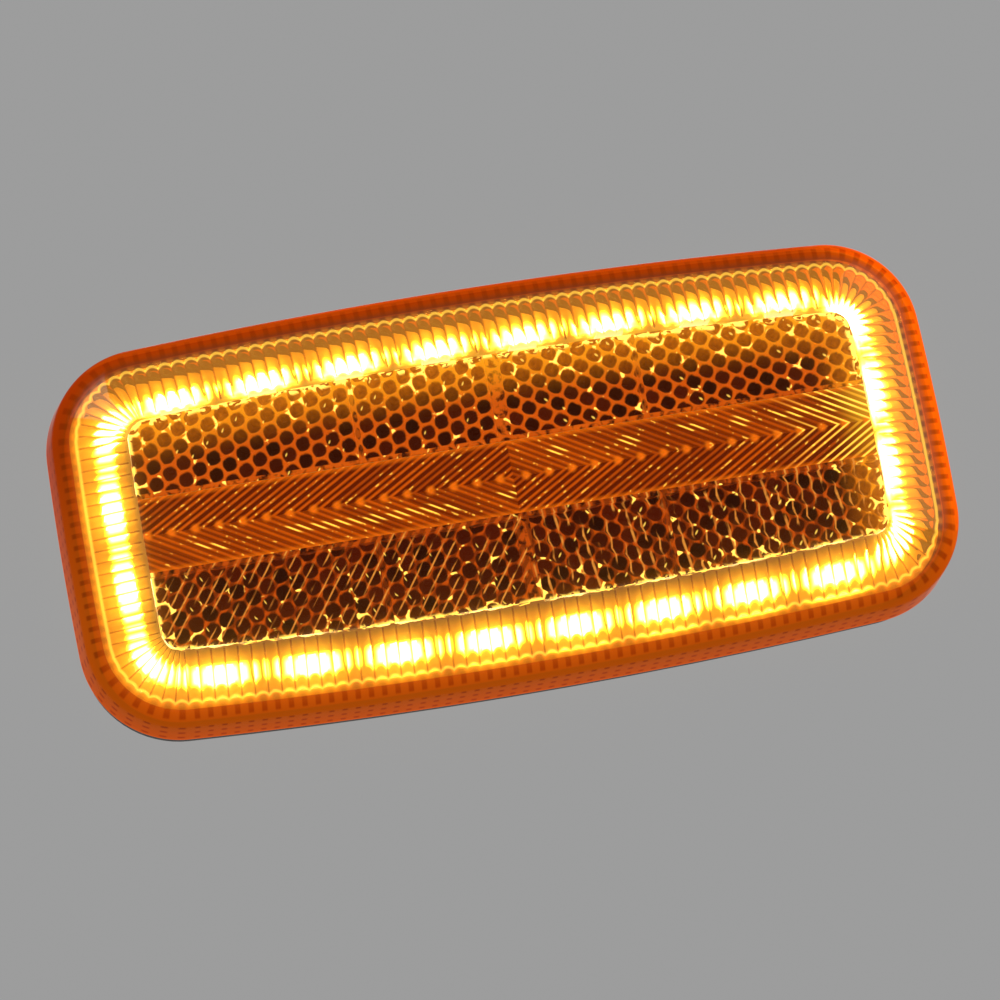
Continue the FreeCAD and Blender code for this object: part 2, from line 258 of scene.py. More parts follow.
def fill(bm, places, inset, height, ring, inset_layer):
    """Fills a flat ring: every second point is dropped, step by step, and the rest joined to the middle."""
    while len(ring) > FILL_LAST:
        inset += FILL_STEP
        places = places[::2]
        inner = [bm.verts.new(at(arc, angle, inset, height)) for arc, angle, _, _ in places]
        for vert in inner:
            vert[inset_layer] = inset
        for i, a in enumerate(inner):
            b = inner[(i + 1) % len(inner)]
            p, q, r = ring[2 * i], ring[2 * i + 1], ring[(2 * i + 2) % len(ring)]
            for corners in ((p, q, a), (q, b, a), (q, r, b)):
                bm.faces.new(corners)
        ring = inner
    middle = bm.verts.new(sum((v.co for v in ring), Vector()) / len(ring))
    for a, b in zip(ring, ring[1:] + ring[:1]):
        bm.faces.new((a, b, middle))
    middle[inset_layer] = HALF_HEIGHT


def lens_body(material):
    """The clear moulding: a closed skin over the section, hollowed by a flute at every step."""
    bm = bmesh.new()
    inset_layer = bm.verts.layers.float.new("inset")
    across_layer = bm.verts.layers.float.new("across")
    inside_layer = bm.verts.layers.float.new("inside")
    outside = [(p.x, p.y, 0.0, 0.0) for p in outer_section()]
    path = outside + inner_section()
    rings = []
    places = stations()
    for row, (inset, height, share, scallop) in enumerate(path):
        ring = []
        for arc, angle, across, half in places:
            half_width = (arc[1] - inset) * math.tan(half)
            hollow = half_width * FLUTE_HOLLOW * (1 - across * across) * share
            # The flutes' outer ends are arches that all point upwards
            reach = inset + SCALLOP * (across * across - 0.5) * math.sin(angle) * scallop
            vert = bm.verts.new(at(arc, angle, reach, height + hollow))
            vert[inset_layer] = inset
            vert[across_layer] = abs(across)
            vert[inside_layer] = float(row >= len(outside))
            ring.append(vert)
        rings.append(ring)
    count = len(places)
    for ring, following in zip(rings, rings[1:]):
        for i in range(count):
            j = (i + 1) % count
            bm.faces.new((ring[i], ring[j], following[j], following[i]))
    for row in (0, -1):
        fill(bm, places, path[row][0], path[row][1], rings[row], inset_layer)
    obj = piece("lens_body", bm, material, "amber_lens", "outer_lens")
    # The two flat middles are triangles and stay flat, so that they do not bend what lies behind
    obj.data.polygons.foreach_set("use_smooth", [len(f.vertices) > 3 for f in obj.data.polygons])
    obj.data.set_sharp_from_angle(angle=SHARP_ANGLE)
    return obj


def clip(bm, point, outward):
    """Cuts away what lies beyond a plane."""
    everything = bm.verts[:] + bm.edges[:] + bm.faces[:]
    bmesh.ops.bisect_plane(bm, geom=everything, plane_co=point, plane_no=outward,
                           clear_outer=True, dist=CUT_TOLERANCE)


def clip_to(bm, x0, x1, z0, z1):
    """Cuts a sheet to a rectangle, in mm."""
    for point, outward in (((x0, 0, 0), (-1, 0, 0)), ((x1, 0, 0), (1, 0, 0)),
                           ((0, 0, z0), (0, 0, -1)), ((0, 0, z1), (0, 0, 1))):
        clip(bm, Vector(point) * MM, Vector(outward))


def clip_to_outline(bm, inset):
    """Cuts the upper right quarter to the outline, by planes that touch its arcs."""
    for arc, share in zip(ARCS, (1.0, 1.0, 0.5)):
        _, _, first, last, kind = arc
        count = CUT_PLANES[kind]
        for i in range(count + 1):
            angle = first + (last - first) * (share * i / count)
            if kind == "short" and angle < 0:
                continue
            outward = Vector((math.cos(angle), 0, math.sin(angle)))
            clip(bm, at(arc, angle, inset, 0.0), outward)


def cell_sheet(x0, x1, z0, z1):
    """Cube corners over a rectangle: each hexagon is three square faces that meet at its deepest point."""
    bm = bmesh.new()
    column = CELL_PITCH * math.sqrt(3) / 2
    side = CELL_PITCH / math.sqrt(3)
    level = CELL_PITCH / math.sqrt(6)
    deepest = FIELD_TOP - CELL_MARGIN - 2 * level
    for i in range(int((x1 - x0) / column) + 3):
        for j in range(int((z1 - z0) / CELL_PITCH) + 3):
            x = x0 + (i - 0.5) * column
            z = z0 + (j - 0.5 + 0.5 * (i % 2)) * CELL_PITCH
            middle = bm.verts.new(Vector((x, RIM_Y - deepest, z)) * MM)
            rim = []
            for k in range(6):
                turn = math.radians(60 * k)
                height = deepest + level * (2 - k % 2)
                spot = Vector((x + side * math.cos(turn), RIM_Y - height, z + side * math.sin(turn)))
                rim.append(bm.verts.new(spot * MM))
            for k in (0, 2, 4):
                bm.faces.new((middle, rim[k - 1], rim[k], rim[k + 1]))
    bmesh.ops.remove_doubles(bm, verts=bm.verts, dist=WELD)
    clip_to(bm, x0, x1, z0, z1)
    return bm


def raise_walls(bm, height):
    """Closes a sheet's sides by walls from its edge to a height."""
    edges = [e for e in bm.edges if e.is_boundary]
    made = bmesh.ops.extrude_edge_only(bm, edges=edges)
    for v in made["geom"]:
        if isinstance(v, bmesh.types.BMVert):
            v.co.y = (RIM_Y - height) * MM


def flat_sheet(x0, x1, z0, z1, height):
    """A plain rectangle at a height in front of the rim."""
    bm = bmesh.new()
    corners = [(x0, z0), (x1, z0), (x1, z1), (x0, z1)]
    bm.faces.new([bm.verts.new(Vector((x, RIM_Y - height, z)) * MM) for x, z in corners])
    return bm


def chevron_sheet(x1, z1):
    """Ridges along one arm of the chevrons over a quarter of the band."""
    bm = bmesh.new()
    across = Vector((math.sin(CHEVRON_ANGLE), 0, math.cos(CHEVRON_ANGLE)))
    along = Vector((math.cos(CHEVRON_ANGLE), 0, -math.sin(CHEVRON_ANGLE)))
    step = CHEVRON_STEP / GROOVES
    count = int((x1 * across.x + z1 * across.z) / step) + 2
    line = []
    for i in range(count):
        depth = MAIN_GROOVE_DEPTH if i % GROOVES == 0 else GROOVE_DEPTH
        line.append((i * step, depth))
        line.append(((i + 0.5) * step, 0.0))
    reach = 2 * HALF_LENGTH
    rows = []
    for place, depth in line:
        foot = across * place + Vector((0, RIM_Y - FIELD_TOP + depth, 0))
        rows.append([bm.verts.new((foot + along * s) * MM) for s in (-reach, reach)])
    for a, b in zip(rows, rows[1:]):
        bm.faces.new((a[0], a[1], b[1], b[0]))
    clip_to(bm, 0, x1, 0, z1)
    return bm


def add_quarters(target, source):
    """Copies one quarter's sheet to all four quarters of the field."""
    mesh = bpy.data.meshes.new("quarter")
    source.to_mesh(mesh)
    source.free()
    for sx in (1, -1):
        for sz in (1, -1):
            part = mesh.copy()
            part.transform(Matrix.Diagonal((sx, 1, sz, 1)))
            if sx * sz < 0:
                part.flip_normals()
            target.from_mesh(part)
            bpy.data.meshes.remove(part)
    bpy.data.meshes.remove(mesh)


def field_relief(reflex_material, chevron_material):
    """The optics on the back of the face: four reflex quarters and the chevron band between them."""
    far_x = HALF_LENGTH
    far_z = HALF_HEIGHT
    reflex = bmesh.new()
    low_z = BAND_HALF + BAND_WEB
    for x0, x1 in ((MIDDLE_WEB, SEAM_X - SEAM_WEB), (SEAM_X + SEAM_WEB, far_x)):
        sheet = cell_sheet(x0, x1, low_z, far_z)
        clip_to_outline(sheet, FIELD_INSET)
        raise_walls(sheet, FIELD_TOP)
        add_quarters(reflex, sheet)
    webs = [(0, far_x, BAND_HALF, low_z), (0, MIDDLE_WEB, low_z, far_z),
            (SEAM_X - SEAM_WEB, SEAM_X + SEAM_WEB, low_z, far_z)]
    for x0, x1, z0, z1 in webs:
        sheet = flat_sheet(x0, x1, z0, z1, FIELD_TOP)
        clip_to_outline(sheet, FIELD_INSET)
        add_quarters(reflex, sheet)
    bmesh.ops.remove_doubles(reflex, verts=reflex.verts, dist=WELD)
    piece("reflex_fields", reflex, reflex_material, "amber_lens", "outer_lens")
    band = bmesh.new()
    sheet = chevron_sheet(far_x, BAND_HALF)
    clip_to_outline(sheet, FIELD_INSET)
    add_quarters(band, sheet)
    bmesh.ops.remove_doubles(band, verts=band.verts, dist=WELD)
    piece("chevron_band", band, chevron_material, "amber_lens", "outer_lens")


class Nodes:
    """Short calls for building a material's node tree."""

    def __init__(self, name):
        self.material = bpy.data.materials.new(name)
        self.material.use_nodes = True
        self.tree = self.material.node_tree
        self.shader = self.tree.nodes["Principled BSDF"]

    def new(self, kind, **settings):
        node = self.tree.nodes.new(kind)
        for key, value in settings.items():
            setattr(node, key, value)
        return node

    def link(self, source, target):
        self.tree.links.new(source, target)

    def put(self, socket, value):
        """Links a socket to another or gives it a value. Colours are red, green and blue."""
        if isinstance(value, bpy.types.NodeSocket):
            self.link(value, socket)
        elif isinstance(value, tuple):
            socket.default_value = value + (1,)
        else:
            socket.default_value = value

    def math(self, operation, *values):
        node = self.new("ShaderNodeMath", operation=operation)
        for socket, value in zip(node.inputs, values):
            self.put(socket, value)
        return node.outputs[0]

    def mix(self, factor, a, b):
        node = self.new("ShaderNodeMix", data_type="RGBA")
        self.put(node.inputs["Factor"], factor)
        self.put(node.inputs[6], a)
        self.put(node.inputs[7], b)
        return node.outputs[2]

    def ramp(self, value, low, high, to_low=0.0, to_high=1.0):
        """Goes smoothly from one value to another between two limits."""
        node = self.new("ShaderNodeMapRange", interpolation_type="SMOOTHSTEP")
        for socket, v in zip(node.inputs, (value, low, high, to_low, to_high)):
            self.put(socket, v)
        return node.outputs[0]

    def position(self):
        """A point's place in metres, as a vector and as three values."""
        coords = self.new("ShaderNodeTexCoord")
        split = self.new("ShaderNodeSeparateXYZ")
        self.link(coords.outputs["Object"], split.inputs[0])
        return coords.outputs["Object"], split.outputs

    def place(self):
        """The x and z of a point in mm."""
        _, xyz = self.position()
        return [self.math("DIVIDE", xyz[i], MM) for i in (0, 2)]

    def pick(self, flag, yes, no):
        """One of two values by a flag of 1 or 0."""
        return self.math("MULTIPLY_ADD", flag, self.math("SUBTRACT", yes, no), no)

    def chain(self, operation, *values):
        """One operation on several values in turn."""
        result = values[0]
        for value in values[1:]:
            result = self.math(operation, result, value)
        return result

    def product(self, *values):
        return self.chain("MULTIPLY", *values)

    def total(self, *values):
        return self.chain("ADD", *values)

    def largest(self, *values):
        return self.chain("MAXIMUM", *values)

    def less(self, a, b):
        return self.math("SUBTRACT", a, b)

    def unsigned(self, *values):
        return [self.math("ABSOLUTE", value) for value in values]

    def length(self, a, b):
        return self.math("SQRT", self.total(self.product(a, a), self.product(b, b)))

    def off_middle(self, value, pitch):
        """How far a value lies from the middle of its step, as a share of the pitch."""
        return self.math("ABSOLUTE", self.less(self.math("FRACT", self.math("DIVIDE", value, pitch)), 0.5))

    def join(self, *values):
        node = self.new("ShaderNodeCombineXYZ")
        for socket, value in zip(node.inputs, values):
            self.put(socket, value)
        return node.outputs[0]

    def white(self, *values):
        """A random value that stays the same wherever the given values do."""
        node = self.new("ShaderNodeTexWhiteNoise")
        self.link(self.join(*values), node.inputs["Vector"])
        return node.outputs["Value"]

    def attribute(self, name):
        return self.new("ShaderNodeAttribute", attribute_name=name).outputs["Fac"]

    def noise(self, vector, scale, detail=3.0):
        node = self.new("ShaderNodeTexNoise")
        self.link(vector, node.inputs["Vector"])
        node.inputs["Scale"].default_value = scale
        node.inputs["Detail"].default_value = detail
        return node.outputs["Fac"]

    def bump(self, height, strength, distance):
        node = self.new("ShaderNodeBump")
        node.inputs["Strength"].default_value = strength
        node.inputs["Distance"].default_value = distance
        self.link(height, node.inputs["Height"])
        self.link(node.outputs[0], self.shader.inputs["Normal"])

    def glow_only(self):
        """The glow is seen but not aimed at as a lamp, which keeps the render quick."""
        self.material.cycles.emission_sampling = "NONE"

    def set(self, **values):
        """Sets the shader's own sockets, by their names with _ for a space."""
        for name, value in values.items():
            self.put(self.shader.inputs[name.replace("_", " ")], value)


# Lens: insets in mm between which one look gives way to the next
RIM_ZONE = (4.6, 1.6)
FACE_ZONE = (8.8, 10.2)
FLUTE_START = (3.8, 4.2)
FLUTE_STOP = (9.7, 9.4)
LEDGE_ZONE = (2.7, 3.4)
SCALLOP_START = (3.55, 3.72)
SCALLOP_STOP = (4.15, 3.9)
SLOPE_ZONE = (3.9, 4.3)
SKIN_ZONE = (3.7, 1.9)
GLOW_STOP = (9.6, 7.5)
BEND_ZONE = (9.5, 10.3)

# Lens: shares of half a flute's width, from its middle to the ridge
RIDGE_LINE = (0.74, 0.95)
BEAD_GLOW_WIDTH = (0.25, 0.8)
DIMPLE_WIDTH = (0.55, 0.25)

# Lens: rows of dimples painted in darker shade on the wall, and the parts of the rim whose painted glow is
# stronger or weaker, in mm
DIMPLE_ROW = 2.1
DIMPLE_HEIGHT = (0.24, 0.10)
DIMPLE_SHADE = 0.75
FOOT_HEIGHT = (0.35, 0.15)
RIGHT_END = (38.0, 54.0)
RIGHT_LOW = (-24.0, -6.0)
UPPER_HALF = (-14.0, 16.0)

# Lens: how strongly light bends
RIM_IOR = 1.03
FLUTE_IOR = 1.49
FACE_IOR = 1.14

# Lens: colours of the plastic, with painted shade on the ridges, then of its painted glow, with painted
# shade in the dimples
FLUTE_AMBER = (1.0, 0.76, 0.15)
RIM_AMBER = (0.30, 0.05, 0.001)
FACE_AMBER = (1.0, 0.88, 0.55)
# Painted shade: thin dark lines along the ridges between the flutes
RIDGE_SHADE_BROWN = (0.24, 0.06, 0.003)
DEEP_GLOW_RED = (0.16, 0.022, 0.0)
DEEP_GLOW_RIGHT = (0.34, 0.05, 0.0)
LEDGE_GLOW_BROWN = (0.20, 0.035, 0.001)
LEDGE_GLOW_AMBER = (0.52, 0.15, 0.006)
SCALLOP_GLOW_YELLOW = (1.0, 0.62, 0.12)
SLOPE_GLOW_GOLD = (0.36, 0.13, 0.0)
WALL_GLOW_ORANGE = (0.24, 0.048, 0.001)
WALL_GLOW_RED = (0.15, 0.016, 0.0)
WALL_GLOW_RIGHT = (0.60, 0.085, 0.0)
DIMPLE_SHADE_RED = (0.05, 0.005, 0.0)
FOOT_GLOW_ORANGE = (0.45, 0.07, 0.001)


def lens_material():
    """Clear amber plastic. Its inner wall and ledge carry a painted glow, so the rim shows deep orange
    through the skin.
    """
    m = Nodes("amber_clear")
    inset = m.attribute("inset")
    across = m.attribute("across")
    inside = m.attribute("inside")
    outside = m.less(1.0, inside)
    x, z = m.place()
    tint = m.mix(m.ramp(inset, *RIM_ZONE), FLUTE_AMBER, RIM_AMBER)
    tint = m.mix(m.ramp(inset, *FACE_ZONE), tint, FACE_AMBER)
    # Painted shade: the sharp ridges between the flutes show as thin brown lines
    flutes = m.product(inside, m.ramp(inset, *FLUTE_START), m.ramp(inset, *FLUTE_STOP))
    tint = m.mix(m.product(flutes, m.ramp(across, *RIDGE_LINE)), tint, RIDGE_SHADE_BROWN)
    # Painted glow: the rim glows most at its right end and least along the top
    side = m.product(m.ramp(x, *RIGHT_END), m.ramp(z, *RIGHT_LOW))
    # Painted highlights on the ledge, brighter in the middle of each flute
    amber = m.mix(m.ramp(across, *BEAD_GLOW_WIDTH), LEDGE_GLOW_BROWN, LEDGE_GLOW_AMBER)
    glow = m.mix(m.ramp(inset, *LEDGE_ZONE), m.mix(side, DEEP_GLOW_RED, DEEP_GLOW_RIGHT), amber)
    # Painted highlight: a bright yellow line where the flutes end
    scallop = m.product(m.ramp(inset, *SCALLOP_START), m.ramp(inset, *SCALLOP_STOP))
    glow = m.mix(scallop, glow, SCALLOP_GLOW_YELLOW)
    # Painted glow along the flutes' slope
    glow = m.mix(m.ramp(inset, *SLOPE_ZONE), glow, SLOPE_GLOW_GOLD)
    # Outside, the wall glows by itself with painted light, with rows of dimples in painted shade and a
    # bright foot
    _, xyz = m.position()
    height = m.less(RIM_Y, m.math("DIVIDE", xyz[1], MM))
    from_row = m.off_middle(height, DIMPLE_ROW)
    shaded_dimple = m.product(m.ramp(from_row, *DIMPLE_HEIGHT), m.ramp(across, *DIMPLE_WIDTH))
    wall = m.mix(m.ramp(z, *UPPER_HALF), WALL_GLOW_ORANGE, WALL_GLOW_RED)
    wall = m.mix(side, wall, WALL_GLOW_RIGHT)
    wall = m.mix(m.product(shaded_dimple, DIMPLE_SHADE), wall, DIMPLE_SHADE_RED)
    wall = m.mix(m.ramp(height, *FOOT_HEIGHT), wall, FOOT_GLOW_ORANGE)
    glow = m.mix(outside, glow, wall)
    skin = m.product(outside, m.ramp(inset, *SKIN_ZONE))
    fade = m.product(inside, m.ramp(inset, *GLOW_STOP))
    # Full bending of light at the flutes only, so that the rim and the face do not mirror the pale surround
    bend = m.pick(skin, RIM_IOR, m.ramp(inset, *BEND_ZONE, FLUTE_IOR, FACE_IOR))
    m.set(Base_Color=tint, Roughness=0.0, IOR=bend, Transmission_Weight=1.0,
          Emission_Color=glow, Emission_Strength=m.total(skin, fade))
    m.glow_only()
    return m.material


# Painted light that spills over the fields: shift of the ring as seen, and its reach in and out, in mm
SPILL_SHIFT = (2.0, 2.2)
SPILL_OUT = 2.5
FIELD_SPILL = 4.0
BAND_SPILL = 3.0


def inset_of(m, x, z):
    """How far a point lies inside the outline, for a rounded rectangle with bowed sides."""
    along = m.math("DIVIDE", x, HALF_LENGTH)
    aside = m.math("DIVIDE", z, HALF_HEIGHT)
    ax, az = m.unsigned(x, z)
    bowed_z = m.math("MULTIPLY_ADD", m.product(along, along), LONG_BOW, az)
    bowed_x = m.math("MULTIPLY_ADD", m.product(aside, aside), SHORT_BOW, ax)
    qx = m.less(bowed_x, HALF_LENGTH - CORNER_RADIUS)
    qz = m.less(bowed_z, HALF_HEIGHT - CORNER_RADIUS)
    round_part = m.length(m.largest(qx, 0.0), m.largest(qz, 0.0))
    flat_part = m.math("MINIMUM", m.largest(qx, qz), 0.0)
    return m.less(CORNER_RADIUS, m.total(round_part, flat_part))


def border_glow(m, x, z, reach):
    """Painted light that spills in from the ring, seen further in at the top and the right end."""
    shifted = inset_of(m, m.total(x, SPILL_SHIFT[0]), m.total(z, SPILL_SHIFT[1]))
    return m.ramp(shifted, CROWN_INSET + reach, CROWN_INSET - SPILL_OUT)


# Reflex fields: numbers that tell the four fields and the dashes' draws apart
SIDE_SEED = 3.7
LOWER_SEED = 9.1
GLINT_SEED = (1.0, 2.0)

# Reflex fields: grain per metre of the noises, and the detail of the sharp ones
ROUGH_SCALE = 1400.0
MOTTLE_SCALE = 1100.0
NET_SCALE = 300.0
SPARK_SCALE = 620.0
BEAD_GLINT_SCALE = 900.0
SHARP_DETAIL = 1.0

# Reflex fields: net between the cells, as shares of the pitch, and plain strips, in mm
CELL_ROUGH = 0.14
NET_ZONE = (0.36, 0.47)
LOWER_NET = 0.03
LOWER_DIM = 0.45
STRIP_SOFT = 0.12
SEAM_SHARE = 0.6
MOTTLE_ZONE = (0.36, 0.56)

# Reflex fields: streaks of painted highlight over the lower ones, with painted shade between them, with
# widths as shares of their pitch
STREAK_PITCH = 1.45
LEFT_STREAK = math.radians(36.0)
RIGHT_STREAK = math.radians(-6.0)
STREAK_WIDTH = (0.13, 0.04)
STREAK_GAP = (0.20, 0.35)
GAP_SHADE = 0.7
RUN_STRETCH = (0.8, 0.3)
RUN_DETAIL = 2.0
RUN_ZONE = (0.44, 0.56)

# Reflex fields: painted highlights, as sparks in the net, dashes in some cells and beads along the edge
SPARK_ZONE = (0.40, 0.50)
SPARK_NEAR = (13.5, 10.4)
SPARK_LIMIT = 0.66
SPARK_MORE = 0.12
SPARK_SOFT = 0.05
GLINT_X = (0.5, -0.25)
GLINT_Z = (0.6, -0.45)
GLINT_LEAN = 0.5
GLINT_SLIM = 2.2
GLINT_SIZE = (0.17, 0.06)
GLINT_RARE = 0.7
GLINT_LIGHT = 0.6
BEAD_GLINT_EDGE = (10.45, 10.05)
BEAD_GLINT_RARE = 0.5
FIELD_POWER = (0.9, 1.0)

# Reflex fields: colours of the painted glow and of the cells' painted shade, then of the plastic, whose
# cells are near black as painted shade
CELL_SHADE_MAROON = (0.016, 0.0010, 0.0002)
CELL_SHADE_RED = (0.070, 0.005, 0.0006)
CELL_GLOW_BROWN = (0.13, 0.016, 0.001)
CELL_GLOW_GOLD = (0.78, 0.22, 0.005)
NET_RED = (0.42, 0.05, 0.002)
NET_ORANGE = (0.72, 0.14, 0.006)
NET_LOWER = (0.30, 0.03, 0.001)
NET_GLOW_GOLD = (0.95, 0.38, 0.012)
STREAK_RED = (0.35, 0.05, 0.004)
STREAK_ORANGE = (1.0, 0.46, 0.10)
SPARK_YELLOW = (1.0, 0.72, 0.16)
CELL_SHADE_PLASTIC = (0.006, 0.001, 0.0005)
NET_PLASTIC = (0.15, 0.03, 0.002)


def hex_cells(m, x, z):
    """(distance from the cell's middle, random value of the cell, offsets from it), by the pitch."""
    ax, az = m.unsigned(x, z)
    period = CELL_PITCH * math.sqrt(3)
    # Each block has its own lattice, which starts at its inner edge
    far = m.math("GREATER_THAN", ax, SEAM_X)
    start = m.math("MULTIPLY_ADD", far, SEAM_X + SEAM_WEB - MIDDLE_WEB, MIDDLE_WEB)
    lx = m.total(m.less(ax, start), period / 4)
    lz = m.less(az, BAND_HALF + BAND_WEB - CELL_PITCH / 2)
    lower = m.math("LESS_THAN", z, 0.0)
    block = m.total(m.product(m.math("SIGN", x), SIDE_SEED), m.product(lower, LOWER_SEED))
    found = []
    for shift in (0.0, 0.5):
        sx = m.less(m.math("DIVIDE", lx, period), shift)
        sz = m.less(m.math("DIVIDE", lz, CELL_PITCH), shift)
        ix, iz = m.math("ROUND", sx), m.math("ROUND", sz)
        ox = m.product(m.less(sx, ix), math.sqrt(3))
        oz = m.less(sz, iz)
        found.append((m.length(ox, oz), m.white(ix, iz, m.total(block, shift)), ox, oz))
    nearer = m.math("LESS_THAN", found[0][0], found[1][0])
    return [m.pick(nearer, a, b) for a, b in zip(*found)]


def web_strips(m, x, z):
    """1 on the plain strips between the blocks of cells and along the band."""
    ax, az = m.unsigned(x, z)
    from_seam = m.math("ABSOLUTE", m.less(ax, SEAM_X))
    band_edge = BAND_HALF + BAND_WEB
    middle = m.ramp(ax, MIDDLE_WEB + STRIP_SOFT, MIDDLE_WEB - STRIP_SOFT)
    seam = m.ramp(from_seam, SEAM_WEB + STRIP_SOFT, SEAM_WEB - STRIP_SOFT)
    along = m.ramp(az, band_edge + STRIP_SOFT, band_edge - STRIP_SOFT)
    return m.largest(middle, m.product(seam, SEAM_SHARE), along)


def with_streaks(m, x, z, lower, rough, dark, colour):
    """Adds the steep streaks of painted highlight that cross the lower fields, with painted shade between
    them, at one angle in each half.
    """
    slant = m.pick(m.math("LESS_THAN", x, 0.0), math.tan(LEFT_STREAK), math.tan(RIGHT_STREAK))
    across = m.less(x, m.product(slant, z))
    line = m.off_middle(across, STREAK_PITCH)
    stretched = m.join(m.product(across, RUN_STRETCH[0]), m.product(z, RUN_STRETCH[1]), 0.0)
    run = m.ramp(m.noise(stretched, 1.0, RUN_DETAIL), *RUN_ZONE)
    colour = m.mix(m.product(lower, m.ramp(line, *STREAK_GAP), GAP_SHADE), colour, dark)
    streak = m.product(lower, m.ramp(line, *STREAK_WIDTH), run)
    return m.mix(streak, colour, m.mix(rough, STREAK_RED, STREAK_ORANGE))


def field_lights(m, vector, edge, cell, glow):
    """1 on the painted highlights: the sparks in the net, the beads along the edge and, weaker, the dashes
    in some cells.
    """
    radius, chance, ox, oz = cell
    # There are more painted sparks near the ring
    near = m.largest(m.ramp(edge, *SPARK_NEAR), glow)
    limit = m.less(SPARK_LIMIT, m.product(near, SPARK_MORE))
    sparkle = m.less(m.noise(vector, SPARK_SCALE, SHARP_DETAIL), limit)
    spark = m.product(m.ramp(radius, *SPARK_ZONE), m.ramp(sparkle, 0.0, SPARK_SOFT))
    # Each painted dash has its own place in its cell
    other = m.white(chance, *GLINT_SEED)
    aside = m.less(ox, m.math("MULTIPLY_ADD", other, *GLINT_X))
    fx = m.product(m.total(aside, m.product(oz, GLINT_LEAN)), GLINT_SLIM)
    fz = m.less(oz, m.math("MULTIPLY_ADD", chance, *GLINT_Z))
    glint = m.product(m.ramp(m.length(fx, fz), *GLINT_SIZE), m.math("GREATER_THAN", other, GLINT_RARE))
    # Painted highlights as beads along the edge
    beads = m.math("GREATER_THAN", m.noise(vector, BEAD_GLINT_SCALE, SHARP_DETAIL), BEAD_GLINT_RARE)
    bead_glint = m.product(m.ramp(edge, *BEAD_GLINT_EDGE), beads)
    return m.math("MINIMUM", m.total(spark, bead_glint, m.product(glint, GLINT_LIGHT)), 1.0)


def reflex_material():
    """Painted glow and shade: dark maroon cells in a net of orange, golden near the ring, with painted
    sparks where cells meet.
    """
    m = Nodes("reflex_amber")
    vector, _ = m.position()
    x, z = m.place()
    radius, chance, ox, oz = hex_cells(m, x, z)
    rough = m.noise(vector, ROUGH_SCALE)
    radius = m.math("MULTIPLY_ADD", m.less(rough, 0.5), CELL_ROUGH, radius)
    lower = m.math("LESS_THAN", z, 0.0)
    net = m.ramp(m.less(radius, m.product(lower, LOWER_NET)), *NET_ZONE)
    mottle = m.ramp(m.noise(vector, MOTTLE_SCALE), *MOTTLE_ZONE)
    net = m.largest(net, m.product(web_strips(m, x, z), mottle))
    glow = border_glow(m, x, z, FIELD_SPILL)
    # Painted shade in the cells, painted glow in the net, golden near the ring
    dark = m.mix(chance, CELL_SHADE_MAROON, CELL_SHADE_RED)
    dark = m.mix(glow, dark, m.mix(rough, CELL_GLOW_BROWN, CELL_GLOW_GOLD))
    web = m.mix(m.noise(vector, NET_SCALE), NET_RED, NET_ORANGE)
    web = m.mix(m.product(lower, LOWER_DIM), web, NET_LOWER)
    web = m.mix(glow, web, NET_GLOW_GOLD)
    colour = with_streaks(m, x, z, lower, rough, dark, m.mix(net, dark, web))
    light = field_lights(m, vector, inset_of(m, x, z), (radius, chance, ox, oz), glow)
    # The cells' base colour is near black as painted shade
    m.set(Roughness=0.4, Specular_IOR_Level=0.1, Base_Color=m.mix(net, CELL_SHADE_PLASTIC, NET_PLASTIC),
          Emission_Color=m.mix(light, colour, SPARK_YELLOW),
          Emission_Strength=m.math("MULTIPLY_ADD", light, *FIELD_POWER))
    m.glow_only()
    return m.material


# Chevron band: numbers that tell the draws apart, and grain per metre of the noises
SHADE_SEED = 7.0
DASH_SEED = 4.0
RIDGE_SCALE = 260.0
FINE_SCALE = 1500.0

# Chevron band: depths of groove and crest in mm, and how dark the painted shade in the grooves of either
# arm is
GROOVE_TOP = 0.07
GROOVE_SHARE = 0.8
CREST = (0.14, 0.03)
BRIGHT_ARM = 0.62
DARK_ARM = 0.95
SHADE_ZONE = (0.3, 0.8)
SHADE_SHARE = 0.55

# Chevron band: painted highlight points on the middle line and at the edges, in mm and as shares
POINT_PLACE = 0.55
POINT_SIZE = (0.8, 0.15)
EDGE_POINT = (0.7, 0.0)
EDGE_SHARE = 0.7
POINT_SHARE = 0.85

# Chevron band: painted highlight dashes along some ridges, in mm from the middle line, and the painted
# light of the right end
DASH_RARE = 0.45
DASH_PLACE = (0.7, 1.3)
DASH_START = (0.0, 0.35)
DASH_STOP = (1.35, 0.9)
FINE_ZONE = (0.62, 0.70)
FINE_LIGHT = 0.7
FLARE_END = (31.0, 42.0)
FLARE_ZONE = (0.25, 0.6)
BAND_POWER = (0.6, 0.95)

# Chevron band: colours of the painted glow, shade and highlights, then of the plastic, darker in the
# grooves as painted shade
CHEVRON_RED = (0.38, 0.052, 0.0)
CHEVRON_ORANGE = (0.66, 0.11, 0.001)
CHEVRON_SHADE = (0.20, 0.022, 0.0)
CHEVRON_GLOW_GOLD = (0.95, 0.52, 0.03)
GROOVE_SHADE_RED = (0.10, 0.007, 0.0)
GROOVE_GLOW_GOLD = (0.38, 0.10, 0.002)
POINT_ORANGE = (0.95, 0.20, 0.006)
DASH_YELLOW = (1.0, 0.66, 0.10)
CREST_PLASTIC = (0.15, 0.03, 0.002)
GROOVE_SHADE_PLASTIC = (0.02, 0.002, 0.0005)


